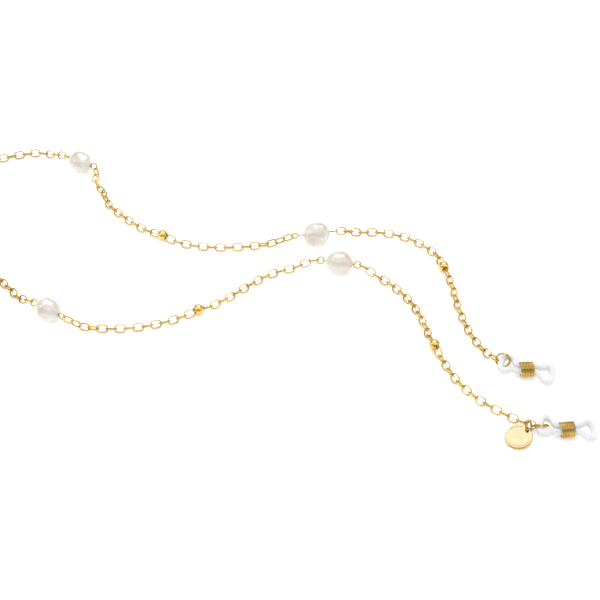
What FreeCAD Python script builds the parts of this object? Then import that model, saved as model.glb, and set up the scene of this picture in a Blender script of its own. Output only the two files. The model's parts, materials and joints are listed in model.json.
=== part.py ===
import FreeCAD, Part
import math
import os
import Sketcher
from FreeCAD import Matrix, Placement, Rotation, Vector

# An eyeglasses chain strap, laid out on a flat surface: an oval belcher chain with baroque
# pearls on eye pins and small gold beads, a jump ring and a silicone temple loop with a grip
# coil at each end, and a round tag beside one of them.
# Everything is in millimetres. +Z is up, the strap rests on z = 0, the two ends point to +X,
# and the origin is at the middle of the footprint.

doc = FreeCAD.newDocument("glasses_chain")

# ---------------------------------------------------------------- driving dimensions

SIZES = [
    # oval link, made of flat band wire
    ("link_length", 4.36),
    ("link_width", 3.05),
    ("link_wire", 0.4),
    ("link_band", 0.7),
    ("link_edge", 0.1),
    # hollow gold bead over a short double-eyed connector
    ("bead_diameter", 4.0),
    ("bead_bore", 2.5),
    ("bead_spacing", 3.6),
    ("connector_eye_radius", 0.83),
    ("connector_eye_offset", 1.48),
    ("connector_wire", 0.4),
    ("connector_shank", 0.34),
    # eye pin through each pearl
    ("eye_radius", 1.25),
    ("eye_wire", 0.55),
    ("eye_spacing", 2.52),
    ("pin_wire", 0.5),
    ("pearl_bore", 0.6),
    # jump rings
    ("ring_radius", 2.4),
    ("ring_wire", 0.8),
    ("ring_opening", 8.0),
    # silicone temple loop and its grip coil
    ("cord_diameter", 2.1),
    ("cord_spacing", 2.16),
    ("grip_half_length", 3.6),
    ("coil_bore", 4.5),
    ("coil_wire", 0.5),
    ("coil_pitch", 0.46),
    ("coil_turns", 10),
    # round tag and its ring
    ("tag_diameter", 9.2),
    ("tag_thickness", 1.0),
    ("tag_hole", 1.6),
    ("tag_hole_offset", 3.45),
    ("tag_border_radius", 4.05),
    ("tag_border_width", 0.22),
    ("tag_border_depth", 0.12),
    ("tag_edge", 0.18),
    ("tag_ring_radius", 1.85),
    ("tag_ring_wire", 0.78),
]

LINKS_PER_RUN = 15
LINKS_IN_INNER_GROUP = 8
LINK_ROLL = 45.0
TWISTED_LINKS = 5

# each pearl: length along its pin, diameter, centre, heading of the pin in degrees from +X,
# distance from the pearl's centre to the inner and the outer eye, and the roll of both eyes
PEARLS = {
    "neck": (9.4, 8.3, (-170.8, 29.5), 84.0, (6.5, 6.5), (45.0, -45.0)),
    "a1": (9.2, 8.0, (-85.7, 72.4), -29.0, (6.4, 6.3), (-35.0, 52.0)),
    "a2": (9.9, 8.4, (6.1, 30.9), 10.0, (8.2, 6.9), (95.0, -45.0)),
    "b1": (9.5, 8.3, (-89.4, -8.9), -33.0, (6.4, 6.4), (45.0, 80.0)),
    "b2": (9.5, 8.4, (14.5, 15.1), -10.0, (7.1, 6.6), (45.0, 40.0)),
}

# each bead: where it lies, and its heading
BEADS = {
    "a1": ((-138.1, 71.0), 24.0),
    "a2": ((-51.3, 32.3), -29.0),
    "a3": ((52.7, 15.4), -72.0),
    "b1": ((-133.6, 19.2), 24.0),
    "b2": ((-36.2, -6.8), 26.0),
    "b3": ((46.9, -24.0), -70.0),
}

# each run of chain between two stations, from the neck outwards: which way its first link
# rolls, and the points it lies through
RUNS = {
    "a1": (
        "pearl neck", "bead a1", 1,
        [(-169.9, 39.5), (-166.8, 48.5), (-160.0, 58.4), (-150.0, 66.3)],
    ),
    "a2": (
        "bead a1", "pearl a1", 1,
        [(-128.0, 74.2), (-118.2, 77.3), (-111.9, 79.3), (-105.9, 80.6), (-99.7, 80.3), (-94.5, 77.3)],
    ),
    "a3": (
        "pearl a1", "bead a2", 1,
        [(-79.2, 65.0), (-75.8, 57.1), (-73.2, 50.7), (-69.2, 45.6), (-64.6, 41.2), (-59.7, 37.0)],
    ),
    "a4": (
        "bead a2", "pearl a2", 1,
        [(-42.6, 28.1), (-36.1, 26.8), (-29.7, 26.3), (-23.3, 26.5), (-16.8, 27.2), (-10.4, 28.3)],
    ),
    "a5": (
        "pearl a2", "bead a3", 1,
        [(21.0, 34.3), (27.5, 34.6), (33.9, 33.7), (40.2, 31.4), (45.4, 27.7), (49.7, 23.1)],
    ),
    "a6": (
        "bead a3", "ring a", -1,
        [(54.6, 8.4), (55.6, 2.4), (56.4, -4.1), (57.7, -10.5), (59.4, -16.6), (61.8, -22.4)],
    ),
    "b1": (
        "pearl neck", "bead b1", 1,
        [(-171.0, 18.5), (-167.2, 11.5), (-160.0, 7.8), (-151.0, 8.6), (-142.4, 13.3)],
    ),
    "b2": (
        "bead b1", "pearl b1", -1,
        [(-123.6, 21.0), (-115.3, 16.2), (-109.2, 9.1), (-103.4, 2.3)],
    ),
    "b3": (
        "pearl b1", "bead b2", 1,
        [(-76.9, -14.9), (-70.6, -15.6), (-64.4, -15.6), (-58.1, -15.0), (-51.6, -13.6), (-45.3, -11.4)],
    ),
    "b4": (
        "bead b2", "pearl b2", -1,
        [(-25.4, 0.2), (-20.3, 4.6), (-15.1, 9.0), (-9.5, 12.6), (-3.4, 15.0)],
    ),
    "b5": (
        "pearl b2", "bead b3", -1,
        [(25.0, 12.2), (30.7, 8.7), (35.2, 4.0), (38.8, -0.9), (41.6, -6.7), (43.7, -12.7)],
    ),
    "b6": (
        "bead b3", "ring b", 1,
        [(50.7, -34.2), (53.5, -40.0), (57.1, -45.2), (61.3, -49.7), (66.1, -53.6)],
    ),
}

# runs that leave their pearl's eye at its side and hang in the eye's plane: heading in degrees
SIDEWAYS_STARTS = {"a3": -62.0}

# each strand's end: centre of its last link, that link's heading, and the jump ring's facing
# as a heading and a climb, in degrees
RING_ENDS = {
    "a": ((67.03, -30.29, 2.05), -47.4, (-115.8, 30.3)),
    "b": ((76.73, -60.67, 2.06), -30.5, (89.9, 34.6)),
}

# temple loops: centre and heading of the coil, heading and height of the lobe in the ring,
# heading and height of the lobe for the glasses
LOOPS = {
    "a": ((77.79, -36.28), 2.1, 156.2, 2.30, -14.1, 1.07),
    "b": ((88.50, -63.33), 5.0, 165.3, 2.40, 2.0, 1.07),
}

# the corners of a lobe's centreline: distance out from the coil, distance aside, and the share
# of the fall from the coil's height to the lobe's
LOBE_CORNERS = [(5.0, 1.95, 0.25), (6.1, 3.2, 0.7), (7.8, 3.1, 1.0), (8.8, 1.3, 1.0)]

# the tag: centre, heading of its hole from its centre, and tilt, in degrees; then the tag ring's
# centre and facing, as a heading and a climb
TAG_CENTRE = (72.36, -65.44)
TAG_HEADING = 32.0
TAG_TILT = 9.7
TAG_RING_CENTRE = (76.05, -61.85)
TAG_RING_FACING = (153.2, -23.8)

# moves the laid-out pattern so that the origin is at the middle of its footprint
FOOTPRINT_SHIFT = Vector(38.30, -6.03, 0.0)

sizes = doc.addObject("Spreadsheet::Sheet", "sizes")


def add_size(row, alias, value):
    sizes.set("A%d" % row, alias)
    sizes.set("B%d" % row, repr(value))
    sizes.setAlias("B%d" % row, alias)


for row, (alias, value) in enumerate(SIZES, start=1):
    add_size(row, alias, value)
for count, (name, pearl) in enumerate(PEARLS.items()):
    first_row = len(SIZES) + 1 + 2 * count
    add_size(first_row, "pearl_%s_length" % name, pearl[0])
    add_size(first_row + 1, "pearl_%s_diameter" % name, pearl[1])
doc.recompute()


def size(alias):
    return float(sizes.get(alias))


# ---------------------------------------------------------------- small geometry helpers

UP = Vector(0, 0, 1)


def framed(origin, x_axis, z_axis):
    """A placement at origin whose x and z point as given, z made square to x."""
    x = Vector(x_axis).normalize()
    z = Vector(z_axis) - x * Vector(z_axis).dot(x)
    z.normalize()
    y = z.cross(x)
    turned = Matrix(
        x.x, y.x, z.x, origin.x, x.y, y.y, z.y, origin.y, x.z, y.z, z.z, origin.z, 0, 0, 0, 1
    )
    return Placement(turned)


def heading_vector(degrees):
    angle = math.radians(degrees)
    return Vector(math.cos(angle), math.sin(angle), 0)


def rolled_normal(direction, roll):
    """The direction square to a travel direction that leans roll degrees to the right of up."""
    right = Vector(direction).cross(UP).normalize()
    above = right.cross(direction).normalize()
    angle = math.radians(roll)
    return above * math.cos(angle) + right * math.sin(angle)


def at_height(point, height):
    return Vector(point[0], point[1], height) + FOOTPRINT_SHIFT


def shifted(point):
    return Vector(*point) + FOOTPRINT_SHIFT


def smooth_step(value):
    value = min(max(value, 0.0), 1.0)
    return value * value * (3 - 2 * value)


class Route:
    """A smooth line through plan points, which rises to a given height at each end."""

    SAMPLES = 400

    def __init__(self, plan_points, tangents, flat_height, start_rise, end_rise):
        curve = Part.BSplineCurve()
        curve.interpolate(
            Points=[Vector(p.x, p.y, 0) for p in plan_points],
            InitialTangent=tangents[0],
            FinalTangent=tangents[1],
        )
        plan = curve.discretize(Number=self.SAMPLES)
        total = curve.length()
        self.points = []
        travelled = 0.0
        for index, point in enumerate(plan):
            if index:
                travelled += point.distanceToPoint(plan[index - 1])
            height = flat_height
            for rise, reach, distance in (start_rise + (travelled,), end_rise + (total - travelled,)):
                height += rise * (1 - smooth_step(distance / reach))
            self.points.append(Vector(point.x, point.y, height))
        self.distances = [0.0]
        for before, after in zip(self.points, self.points[1:]):
            self.distances.append(self.distances[-1] + before.distanceToPoint(after))
        self.length = self.distances[-1]

    def at(self, distance):
        for index in range(1, len(self.points)):
            if self.distances[index] >= distance or index == len(self.points) - 1:
                span = self.distances[index] - self.distances[index - 1]
                share = (distance - self.distances[index - 1]) / span
                start = self.points[index - 1]
                return start + (self.points[index] - start) * share


# ---------------------------------------------------------------- where the pieces stand



def lying_height(roll):
    """The height of a link's centre above the surface when it lies on its edges, rolled."""
    turned = math.radians(roll)
    across = size("link_width") * abs(math.sin(turned)) + size("link_band") * abs(math.cos(turned))
    return across / 2 + 0.01


LINK_HEIGHT = lying_height(LINK_ROLL)
BEAD_HEIGHT = size("bead_diameter") / 2
COIL_HEIGHT = size("coil_bore") / 2 + size("coil_wire")
RING_SPACING = 1.15
EYE_REACH = 10.5
BEAD_REACH = 5.0
RING_REACH = 6.0


def pearl_centre(name):
    return at_height(PEARLS[name][2], size("pearl_%s_diameter" % name) / 2)


def pearl_direction(name):
    return heading_vector(PEARLS[name][3])


def eye_centre(name, outer):
    """The neck pearl's inner eye leads to strand b and its outer eye to strand a."""
    distances = PEARLS[name][4]
    return pearl_centre(name) + pearl_direction(name) * (distances[1] if outer else -distances[0])


def station(strand, text, leaving):
    """Where a run meets a station: the point, the direction of travel there, the point's height
    above the lying chain, the reach of the rise, and the distance from the point to the nearest
    link's centre."""
    kind, name = text.split()
    if kind == "pearl":
        outer = leaving
        direction = pearl_direction(name)
        if name == "neck":
            outer = strand == "a"
            direction = direction if outer else -direction
        point = eye_centre(name, outer)
        return point, direction, point.z - LINK_HEIGHT, EYE_REACH, size("eye_spacing")
    if kind == "bead":
        point = at_height(BEADS[name][0], BEAD_HEIGHT)
        direction = heading_vector(BEADS[name][1])
        return point, direction, BEAD_HEIGHT - LINK_HEIGHT, BEAD_REACH, size("bead_spacing")
    point = shifted(RING_ENDS[name][0])
    return point, heading_vector(RING_ENDS[name][1]), point.z - LINK_HEIGHT, RING_REACH, 0.0


def facing_vector(heading, climb):
    level = heading_vector(heading) * math.cos(math.radians(climb))
    return level + UP * math.sin(math.radians(climb))


def ring_normal(name):
    return facing_vector(*RING_ENDS[name][2])


def ring_reach(name):
    """From the middle of the last link's bar to the centre of the jump ring lying on the
    surface, as a unit vector in the ring's plane."""
    normal = ring_normal(name)
    level = UP.cross(normal).normalize()
    if level.dot(heading_vector(RING_ENDS[name][1])) < 0:
        level = -level
    steep = normal.cross(level)
    if steep.z < 0:
        steep = -steep
    lying = size("ring_radius") * steep.z + size("ring_wire") / 2 + 0.01
    climb = (lying - RING_ENDS[name][0][2]) / size("ring_radius") / steep.z
    return level * math.sqrt(1 - climb**2) + steep * climb


def ring_centre(name):
    crossing = shifted(RING_ENDS[name][0]) + heading_vector(RING_ENDS[name][1]) * RING_SPACING
    return crossing + ring_reach(name) * size("ring_radius")


def wire_normal(strand, text, direction, leaving):
    """The facing of the wire that a run's end link hangs on, or None where the wire follows the
    link, as a bead's connector does."""
    kind, name = text.split()
    if kind == "pearl":
        outer = leaving if name != "neck" else strand == "a"
        return rolled_normal(pearl_direction(name), PEARLS[name][5][1 if outer else 0])
    if kind == "ring":
        return ring_normal(name)
    return None


def twist_to_wire(normal, direction, roll):
    """The extra roll that sets an end link square to the wire it hangs on."""
    if normal is None:
        return 0.0
    square = normal.cross(direction)
    right = direction.cross(UP).normalize()
    above = right.cross(direction).normalize()
    wanted = math.degrees(math.atan2(square.dot(right), square.dot(above)))
    return (wanted - roll + 90) % 180 - 90


def lay_run(name):
    """The placement of every link of a run."""
    start, end, first_roll, between = RUNS[name]
    start_point, start_direction, start_rise, start_reach, start_gap = station(name[0], start, True)
    end_point, end_direction, end_rise, end_reach, end_gap = station(name[0], end, False)
    eye = None
    if name in SIDEWAYS_STARTS:
        eye = start_point
        start_direction = heading_vector(SIDEWAYS_STARTS[name])
        facing = wire_normal(name[0], start, start_direction, True)
        hang = (start_direction - UP * start_direction.dot(facing) / facing.z).normalize()
        start_point = start_point + hang * start_gap
        start_rise = start_point.z - LINK_HEIGHT
        start_gap = 0.0
    plan = [start_point] + [at_height(p, 0) for p in between] + [end_point]
    tangents = (start_direction, end_direction)
    route = Route(plan, tangents, LINK_HEIGHT, (start_rise, start_reach), (end_rise, end_reach))
    pitch = (route.length - start_gap - end_gap) / (LINKS_PER_RUN - 1)
    last = LINKS_PER_RUN - 1
    centres = []
    directions = []
    rolls = []
    for index in range(LINKS_PER_RUN):
        middle = start_gap + index * pitch
        behind = route.at(max(middle - pitch / 2, 0))
        ahead = route.at(min(middle + pitch / 2, route.length))
        centres.append(route.at(middle))
        directions.append((ahead - behind).normalize())
        rolls.append(LINK_ROLL * first_roll * (-1) ** index)
    if eye:
        directions[0] = (centres[1] - eye).normalize()
    if end.startswith("ring"):
        directions[last] = end_direction
    start_twist = twist_to_wire(wire_normal(name[0], start, directions[0], True), directions[0], rolls[0])
    end_wire = wire_normal(name[0], end, directions[last], False)
    end_twist = twist_to_wire(end_wire, directions[last], rolls[last])
    placements = []
    for index in range(LINKS_PER_RUN):
        roll = rolls[index]
        roll += start_twist * max(1 - index / TWISTED_LINKS, 0)
        roll += end_twist * max(1 - (last - index) / TWISTED_LINKS, 0)
        centre = centres[index]
        centre.z = max(centre.z, lying_height(roll))
        placements.append(framed(centre, directions[index], rolled_normal(directions[index], roll)))
    return placements


# ---------------------------------------------------------------- sketch and feature helpers


def origin_feature(body, role):
    return next(f for f in body.Origin.OriginFeatures if f.Role == role)


def new_body(label):
    body = doc.addObject("PartDesign::Body", label)
    body.Label = label
    return body


def new_sketch(body, name, role="XY_Plane"):
    sketch = body.newObject("Sketcher::SketchObject", name)
    sketch.AttachmentSupport = (origin_feature(body, role), [""])
    sketch.MapMode = "FlatFace"
    return sketch


def bind(sketch, constraint, name, expression):
    index = sketch.addConstraint(constraint)
    sketch.renameConstraint(index, name)
    sketch.setExpression("Constraints." + name, expression)


def add_stadium(sketch, name, length, width, length_expression, width_expression):
    """A closed outline of two straight sides and two half circles, centred on the origin."""
    radius = width / 2
    half = length / 2 - radius
    right = sketch.addGeometry(
        Part.ArcOfCircle(Part.Circle(Vector(half, 0, 0), UP, radius), -math.pi / 2, math.pi / 2)
    )
    left = sketch.addGeometry(
        Part.ArcOfCircle(Part.Circle(Vector(-half, 0, 0), UP, radius), math.pi / 2, 3 * math.pi / 2)
    )
    top = sketch.addGeometry(Part.LineSegment(Vector(half, radius, 0), Vector(-half, radius, 0)))
    bottom = sketch.addGeometry(Part.LineSegment(Vector(-half, -radius, 0), Vector(half, -radius, 0)))
    for first, first_end, second, second_end in (
        (right, 2, top, 1), (top, 2, left, 1), (left, 2, bottom, 1), (bottom, 2, right, 1),
    ):
        sketch.addConstraint(Sketcher.Constraint("Tangent", first, first_end, second, second_end))
    sketch.addConstraint(Sketcher.Constraint("Horizontal", top))
    sketch.addConstraint(Sketcher.Constraint("PointOnObject", right, 3, -1))
    sketch.addConstraint(Sketcher.Constraint("Symmetric", right, 3, left, 3, -1, 1))
    bind(sketch, Sketcher.Constraint("Radius", right, radius), name + "_radius", width_expression + " / 2")
    bind(
        sketch,
        Sketcher.Constraint("DistanceX", left, 3, right, 3, 2 * half),
        name + "_centres",
        "%s - (%s)" % (length_expression, width_expression),
    )


def add_circle(sketch, name, centre_x, centre_y, radius, radius_expression):
    circle = sketch.addGeometry(Part.Circle(Vector(centre_x, centre_y, 0), UP, radius))
    bind(sketch, Sketcher.Constraint("Radius", circle, radius), name + "_radius", radius_expression)
    return circle


def centre_on_origin(sketch, circle):
    sketch.addConstraint(Sketcher.Constraint("Coincident", circle, 3, -1, 1))


def add_pad(body, sketch, name, expression):
    pad = body.newObject("PartDesign::Pad", name)
    pad.Profile = sketch
    pad.setExpression("Length", expression)
    pad.Midplane = True
    return pad


def bind_sizes(thing, **expressions):
    for name, expression in expressions.items():
        thing.setExpression(name, expression)


# ---------------------------------------------------------------- the sub-parts

pieces = []


def keep(thing, label):
    thing.Label = label
    pieces.append(thing)
    return thing


def make_link_pattern():
    """One oval link of flat band wire, centred on the origin with its length along X."""
    body = new_body("link_pattern")
    sketch = new_sketch(body, "link_outline")
    length, width, wire = size("link_length"), size("link_width"), size("link_wire")
    add_stadium(sketch, "outer", length, width, "sizes.link_length", "sizes.link_width")
    add_stadium(
        sketch,
        "inner",
        length - 2 * wire,
        width - 2 * wire,
        "sizes.link_length - 2 * sizes.link_wire",
        "(sizes.link_width - 2 * sizes.link_wire)",
    )
    pad = add_pad(body, sketch, "link_band", "sizes.link_band")
    doc.recompute()
    chamfer = body.newObject("PartDesign::Chamfer", "link_edges")
    rim = [
        "Edge%d" % (number + 1)
        for number, edge in enumerate(pad.Shape.Edges)
        if abs(abs(edge.CenterOfMass.z) - size("link_band") / 2) < 1e-6
    ]
    chamfer.Base = (pad, rim)
    chamfer.setExpression("Size", "sizes.link_edge")
    body.Tip = chamfer
    doc.recompute()
    return body


def make_chain_group(label, pattern, placements):
    """Neighbouring links that move together, each a solid of its own."""
    links = []
    for placement in placements:
        link = pattern.Shape.copy()
        link.Placement = placement
        links.append(link)
    group = doc.addObject("Part::Feature", label)
    group.Shape = Part.makeCompound(links)
    return keep(group, label)


def make_bead(name, placement):
    """A round gold bead with a wide bore, its bore along X."""
    body = new_body("bead_" + name)
    sketch = new_sketch(body, "bead_profile")
    radius, bore = size("bead_diameter") / 2, size("bead_bore") / 2
    reach = math.sqrt(radius**2 - bore**2)
    edge_angle = math.atan2(bore, reach)
    arc = sketch.addGeometry(
        Part.ArcOfCircle(Part.Circle(Vector(0, 0, 0), UP, radius), edge_angle, math.pi - edge_angle)
    )
    wall = sketch.addGeometry(Part.LineSegment(Vector(-reach, bore, 0), Vector(reach, bore, 0)))
    centre_on_origin(sketch, arc)
    sketch.addConstraint(Sketcher.Constraint("Coincident", arc, 2, wall, 1))
    sketch.addConstraint(Sketcher.Constraint("Coincident", wall, 2, arc, 1))
    sketch.addConstraint(Sketcher.Constraint("Horizontal", wall))
    bind(sketch, Sketcher.Constraint("Radius", arc, radius), "ball_radius", "sizes.bead_diameter / 2")
    bind(
        sketch,
        Sketcher.Constraint("DistanceY", -1, 1, wall, 1, bore),
        "bore_radius",
        "sizes.bead_bore / 2",
    )
    turned = body.newObject("PartDesign::Revolution", "bead_ball")
    turned.Profile = sketch
    turned.ReferenceAxis = (origin_feature(body, "X_Axis"), [""])
    turned.Angle = 360
    body.Placement = placement
    return keep(body, "bead_" + name)


def make_connector(name, placement):
    """A short straight wire inside a bead with a small eye at each end, each eye square to the
    chain link that hangs in it. Its length is along X."""
    strand, number = name[0], int(name[1])
    before = run_links["%s%d" % (strand, 2 * number - 1)][-1]
    after = run_links["%s%d" % (strand, 2 * number)][0]
    direction = placement.Rotation.multVec(Vector(1, 0, 0))
    offset = size("connector_eye_offset")
    parts = []
    for side, link in ((-1, before), (1, after)):
        centre = placement.Base + direction * side * offset
        eye = doc.addObject("Part::Torus", "bead_eye_%s_%s" % (name, "outer" if side > 0 else "inner"))
        bind_sizes(eye, Radius1="sizes.connector_eye_radius", Radius2="sizes.connector_wire / 2")
        eye.Placement = framed(centre, direction, direction.cross(link.Rotation.multVec(UP)))
        parts.append(eye)
    shank = doc.addObject("Part::Cylinder", "bead_shank_" + name)
    bind_sizes(
        shank,
        Radius="sizes.connector_shank / 2",
        Height="2 * (sizes.connector_eye_offset - sizes.connector_eye_radius)",
    )
    start = placement.Base - direction * (offset - size("connector_eye_radius"))
    shank.Placement = framed(start, UP, direction)
    parts.append(shank)
    connector = doc.addObject("Part::MultiFuse", "bead_link_" + name)
    connector.Shapes = parts
    return keep(connector, "bead_link_" + name)


def round_sweep(path, radius):
    """A round wire or cord of a given radius along a closed path of lines and arcs."""
    pieces_along = []
    for edge in path.OrderedEdges:
        first = edge.FirstParameter
        circle = Part.Circle(edge.valueAt(first), edge.tangentAt(first), radius)
        profile = Part.Wire(circle.toShape())
        side = Part.Wire(edge).makePipeShell([profile], False, False)
        pieces_along.extend(side.Faces)
    shell = Part.makeShell(pieces_along)
    shell.sewShape()
    solid = Part.makeSolid(Part.Shell(shell.Faces) if shell.ShapeType != "Shell" else shell)
    if solid.Volume < 0:
        solid.reverse()
    expected = math.pi * radius**2 * path.Length
    if abs(solid.Volume - expected) > 0.01 * expected:
        raise ValueError("swept wire has volume %.3f, not %.3f" % (solid.Volume, expected))
    return solid


def make_eye_pin(name):
    """A straight wire through a pearl, with a round eye bent at each end."""
    direction = pearl_direction(name)
    centre = pearl_centre(name)
    parts = []
    for outer, roll in ((False, PEARLS[name][5][0]), (True, PEARLS[name][5][1])):
        eye = doc.addObject("Part::Torus", "eye_%s_%s" % (name, "outer" if outer else "inner"))
        bind_sizes(eye, Radius1="sizes.eye_radius", Radius2="sizes.eye_wire / 2")
        eye.Placement = framed(eye_centre(name, outer), direction, rolled_normal(direction, roll))
        parts.append(eye)
    start = eye_centre(name, False) + direction * size("eye_radius")
    end = eye_centre(name, True) - direction * size("eye_radius")
    shank = doc.addObject("Part::Cylinder", "shank_" + name)
    bind_sizes(shank, Radius="sizes.pin_wire / 2")
    shank.Height = start.distanceToPoint(end)
    shank.Placement = framed(start, UP, direction)
    parts.append(shank)
    pin = doc.addObject("Part::MultiFuse", "eye_pin_" + name)
    pin.Shapes = parts
    return keep(pin, "eye_pin_" + name)


def make_pearl(name):
    """A baroque pearl drilled along its length. Its long axis is the pin's."""
    body = doc.addObject("Part::Ellipsoid", "nacre_" + name)
    along = "sizes.pearl_%s_length / 2" % name
    across = "sizes.pearl_%s_diameter / 2" % name
    bind_sizes(body, Radius1=along, Radius2=across, Radius3=across)
    drill = doc.addObject("Part::Cylinder", "drill_" + name)
    bind_sizes(drill, Radius="sizes.pearl_bore / 2", Height="sizes.pearl_%s_length + 2" % name)
    drill.Placement = Placement(Vector(0, 0, -size("pearl_%s_length" % name) / 2 - 1), Rotation())
    pearl = doc.addObject("Part::Cut", "pearl_" + name)
    pearl.Base = body
    pearl.Tool = drill
    pearl.Placement = framed(pearl_centre(name), UP, pearl_direction(name))
    return keep(pearl, "pearl_" + name)


def make_ring(label, placement, radius_alias, wire_alias):
    """A jump ring bent from round wire, its small gap at the end of the turn."""
    ring = doc.addObject("Part::Torus", label)
    bind_sizes(
        ring,
        Radius1="sizes." + radius_alias,
        Radius2="sizes.%s / 2" % wire_alias,
        Angle3="360 - sizes.ring_opening",
    )
    ring.Placement = placement
    return keep(ring, label)


def rounded_loop(corners):
    """A closed path through a polygon's sides, each corner turned by an arc tangent to both."""
    count = len(corners)
    arcs = []
    for index, corner in enumerate(corners):
        before, after = corners[index - 1], corners[(index + 1) % count]
        arriving = (corner - before).normalize()
        leaving = (after - corner).normalize()
        shorter = min(corner.distanceToPoint(before), corner.distanceToPoint(after))
        trim = 0.45 * shorter
        turn = arriving.getAngle(leaving)
        radius = trim / math.tan(turn / 2)
        bisector = (leaving - arriving).normalize()
        apex = corner + bisector * (radius / math.cos(turn / 2) - radius)
        arcs.append((corner - arriving * trim, apex, corner + leaving * trim))
    edges = []
    for index, (start, apex, end) in enumerate(arcs):
        edges.append(Part.Arc(start, apex, end).toShape())
        edges.append(Part.makeLine(end, arcs[(index + 1) % count][0]))
    return Part.Wire(edges)


def loop_corners(name):
    """The corners of a temple loop's centreline: out along one strand to the lobe for the
    glasses, round it and back through the coil, then round the lobe in the jump ring."""
    coil_centre, coil_heading, ring_heading, ring_height, temple_heading, temple_height = LOOPS[name]
    coil = at_height(coil_centre, COIL_HEIGHT)
    along = heading_vector(coil_heading)
    aside = heading_vector(coil_heading + 90)
    corners = []
    for heading, height, sign in ((temple_heading, temple_height, 1), (ring_heading, ring_height, -1)):
        grip_end = coil + along * sign * size("grip_half_length")
        strand = aside * sign * size("cord_spacing") / 2
        outward = heading_vector(heading)
        across = heading_vector(heading + 90)
        fall = height - COIL_HEIGHT
        corners.append(grip_end + strand)
        for side, row in ((1, LOBE_CORNERS), (-1, LOBE_CORNERS[::-1])):
            for out, away, share in row:
                corners.append(coil + outward * out + across * side * away + UP * fall * share)
        corners.append(grip_end - strand)
    return corners


def make_temple_loop(name):
    """A closed loop of soft round silicone cord, pinched into two lobes by its coil."""
    loop = doc.addObject("Part::Feature", "temple_loop_" + name)
    loop.Shape = round_sweep(rounded_loop(loop_corners(name)), size("cord_diameter") / 2)
    return keep(loop, "temple_loop_" + name)


def make_coil(name):
    """A close-wound spring coil, its axis along X. The turns overlap a little and make one wall."""
    body = new_body("grip_coil_" + name)
    sketch = new_sketch(body, "coil_wire_section")
    turn_radius = (size("coil_bore") + size("coil_wire")) / 2
    start_x = -size("coil_pitch") * (size("coil_turns") - 1) / 2
    section = add_circle(sketch, "wire", start_x, turn_radius, size("coil_wire") / 2, "sizes.coil_wire / 2")
    bind(
        sketch,
        Sketcher.Constraint("DistanceY", -1, 1, section, 3, turn_radius),
        "turn_radius",
        "(sizes.coil_bore + sizes.coil_wire) / 2",
    )
    bind(
        sketch,
        Sketcher.Constraint("DistanceX", section, 3, -1, 1, -start_x),
        "first_turn",
        "sizes.coil_pitch * (sizes.coil_turns - 1) / 2",
    )
    turn = body.newObject("PartDesign::Revolution", "coil_turn")
    turn.Profile = sketch
    turn.ReferenceAxis = (origin_feature(body, "X_Axis"), [""])
    turn.Angle = 360
    doc.recompute()
    pattern = body.newObject("PartDesign::LinearPattern", "coil_winding")
    pattern.Originals = [turn]
    pattern.Direction = (origin_feature(body, "X_Axis"), [""])
    pattern.setExpression("Length", "sizes.coil_pitch * (sizes.coil_turns - 1)")
    pattern.Occurrences = int(size("coil_turns"))
    body.Tip = pattern
    body.Placement = coil_placement(name)
    return keep(body, "grip_coil_" + name)


def coil_placement(name):
    return framed(at_height(LOOPS[name][0], COIL_HEIGHT), heading_vector(LOOPS[name][1]), UP)


def ring_placement(name):
    """The ring's small gap is at its top."""
    return framed(ring_centre(name), UP - ring_normal(name) * ring_normal(name).z, ring_normal(name))


def tag_placement():
    """The tag lies on the surface at its far edge, lifted by the ring under its hole."""
    along = heading_vector(TAG_HEADING)
    tilt = math.radians(TAG_TILT)
    slope = along * math.cos(tilt) + UP * math.sin(tilt)
    radius, thickness = size("tag_diameter") / 2, size("tag_thickness")
    height = radius * math.sin(tilt) + thickness / 2 * math.cos(tilt)
    return framed(at_height(TAG_CENTRE, height), slope, UP)


def tag_ring_placement():
    """The tag's ring leans on the surface, through the tag's hole and the strand's last link."""
    normal = facing_vector(*TAG_RING_FACING)
    steep = UP - normal * normal.z
    lying = size("tag_ring_radius") * steep.Length + size("tag_ring_wire") / 2 + 0.01
    return framed(at_height(TAG_RING_CENTRE, lying), steep, normal)


def make_tag():
    """A round tag, blank but for a fine border line, with a hole near its edge."""
    body = new_body("tag")
    disc = new_sketch(body, "tag_outline")
    centre_on_origin(disc, add_circle(disc, "rim", 0, 0, size("tag_diameter") / 2, "sizes.tag_diameter / 2"))
    hole = add_circle(disc, "hole", size("tag_hole_offset"), 0, size("tag_hole") / 2, "sizes.tag_hole / 2")
    disc.addConstraint(Sketcher.Constraint("PointOnObject", hole, 3, -1))
    bind(
        disc,
        Sketcher.Constraint("DistanceX", -1, 1, hole, 3, size("tag_hole_offset")),
        "hole_offset",
        "sizes.tag_hole_offset",
    )
    pad = add_pad(body, disc, "tag_blank", "sizes.tag_thickness")
    doc.recompute()
    fillet = body.newObject("PartDesign::Fillet", "tag_rim")
    radius = size("tag_diameter") / 2
    rims = [
        "Edge%d" % (number + 1)
        for number, edge in enumerate(pad.Shape.Edges)
        if isinstance(edge.Curve, Part.Circle) and abs(edge.Curve.Radius - radius) < 1e-6
    ]
    fillet.Base = (pad, rims)
    fillet.setExpression("Radius", "sizes.tag_edge")
    doc.recompute()
    border = new_sketch(body, "tag_border")
    border.setExpression("AttachmentOffset.Base.z", "sizes.tag_thickness / 2")
    for edge, expression in (
        ("outer", "sizes.tag_border_radius"),
        ("inner", "sizes.tag_border_radius - sizes.tag_border_width"),
    ):
        radius = size("tag_border_radius") - (size("tag_border_width") if edge == "inner" else 0)
        centre_on_origin(border, add_circle(border, edge, 0, 0, radius, expression))
    groove = body.newObject("PartDesign::Pocket", "tag_border_groove")
    groove.Profile = border
    groove.setExpression("Length", "sizes.tag_border_depth")
    body.Tip = groove
    body.Placement = tag_placement()
    return keep(body, "tag")


# ---------------------------------------------------------------- the assembly

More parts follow.
